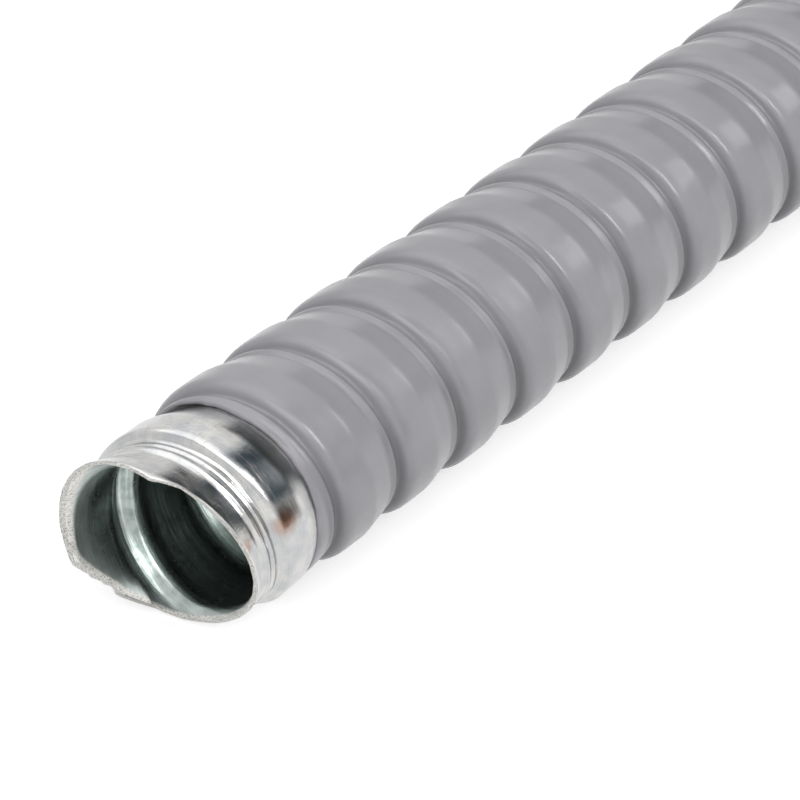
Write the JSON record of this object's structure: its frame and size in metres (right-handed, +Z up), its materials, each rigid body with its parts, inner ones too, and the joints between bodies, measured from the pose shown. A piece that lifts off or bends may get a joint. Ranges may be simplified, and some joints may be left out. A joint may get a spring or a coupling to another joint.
{
  "type": "flexible metal conduit",
  "caption": "Cut length of PVC-coated flexible metal conduit: helically wound galvanised steel strip with a grey ribbed jacket, stripped back at one end.",
  "frame": {"origin": "on the floor under the middle of the piece, midway between its ends", "axes": "+X along the conduit from the stripped end to the square-cut end, +Z up"},
  "size_m": [0.305, 0.0264, 0.0264],
  "materials": {
    "galvanised_steel": "bright galvanised strip with fine lengthwise streaks",
    "grey_pvc": "satin extruded PVC"
  },
  "bodies": {
    "root": {"steel_strip": "galvanised_steel", "pvc_jacket": "grey_pvc"}
  },
  "joints": []
}
